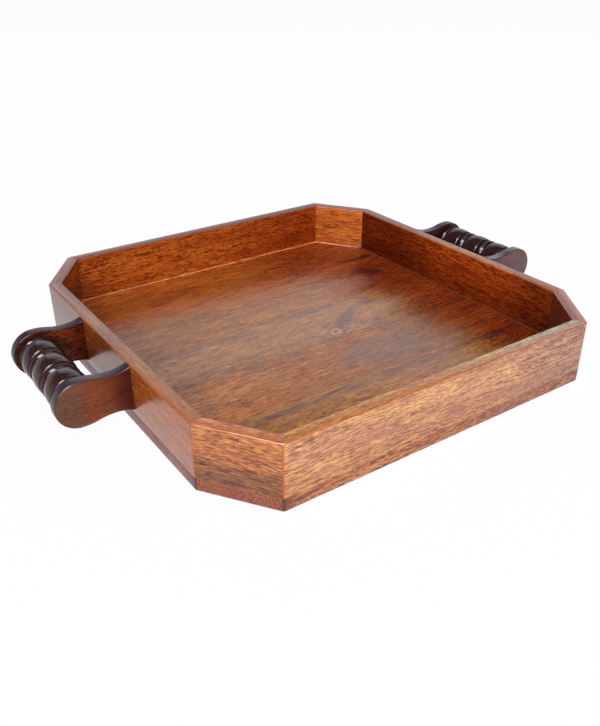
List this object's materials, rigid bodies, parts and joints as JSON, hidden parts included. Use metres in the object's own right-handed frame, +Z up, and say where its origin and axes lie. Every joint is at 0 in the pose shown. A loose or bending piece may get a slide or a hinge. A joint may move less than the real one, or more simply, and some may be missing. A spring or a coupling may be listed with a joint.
{
  "type": "serving tray",
  "caption": "Eight-sided solid wood serving tray with low mitred walls on a flush base board and a turned spindle handle between brackets on each of two opposite walls.",
  "frame": {"origin": "on the underside, below the middle of the body", "axes": "+X from the left handle to the right handle, +Y from the front wall to the back wall, +Z up out of the open top"},
  "size_m": [0.5024, 0.392, 0.056],
  "materials": {
    "base_wood": "mid brown hardwood, grain along X with grey-green and orange streaks, satin-gloss lacquer",
    "wall_wood": "reddish brown hardwood, grain along the board with gold flecks and dark dashes, satin-gloss lacquer",
    "corner_wood": "golden orange to reddish brown hardwood with dark wavy streaks, satin-gloss lacquer",
    "bracket_wood": "dark brown hardwood with reddish mottling, satin-gloss lacquer",
    "spindle_wood": "near-black espresso hardwood, turned, glossy lacquer",
    "dowel_wood": "bare pale hardwood",
    "screw_steel": "plated steel, satin"
  },
  "bodies": {
    "root": {"base_board_back": "base_wood", "base_board_front": "base_wood", "base_board_inner_back": "base_wood", "base_board_middle": "base_wood", "base_board_split_left": "base_wood", "base_board_split_right": "base_wood", "bracket_left_back": "bracket_wood", "bracket_left_front": "bracket_wood", "bracket_right_back": "bracket_wood", "bracket_right_front": "bracket_wood", "corner_back_left": "corner_wood", "corner_back_right": "corner_wood", "corner_front_left": "corner_wood", "corner_front_right": "corner_wood", "dowel_left_back_lower": "dowel_wood", "dowel_left_back_upper": "dowel_wood", "dowel_left_front_lower": "dowel_wood", "dowel_left_front_upper": "dowel_wood", "dowel_right_back_lower": "dowel_wood", "dowel_right_back_upper": "dowel_wood", "dowel_right_front_lower": "dowel_wood", "dowel_right_front_upper": "dowel_wood", "screw_back_1": "screw_steel", "screw_back_2": "screw_steel", "screw_back_3": "screw_steel", "screw_corner_back_left_1": "screw_steel", "screw_corner_back_right_1": "screw_steel", "screw_corner_front_left_1": "screw_steel", "screw_corner_front_right_1": "screw_steel", "screw_front_1": "screw_steel", "screw_front_2": "screw_steel", "screw_front_3": "screw_steel", "screw_left_1": "screw_steel", "screw_left_2": "screw_steel", "screw_left_3": "screw_steel", "screw_right_1": "screw_steel", "screw_right_2": "screw_steel", "screw_right_3": "screw_steel", "spindle_left": "spindle_wood", "spindle_right": "spindle_wood", "wall_back": "wall_wood", "wall_front": "wall_wood", "wall_left": "wall_wood", "wall_right": "wall_wood"}
  },
  "joints": []
}
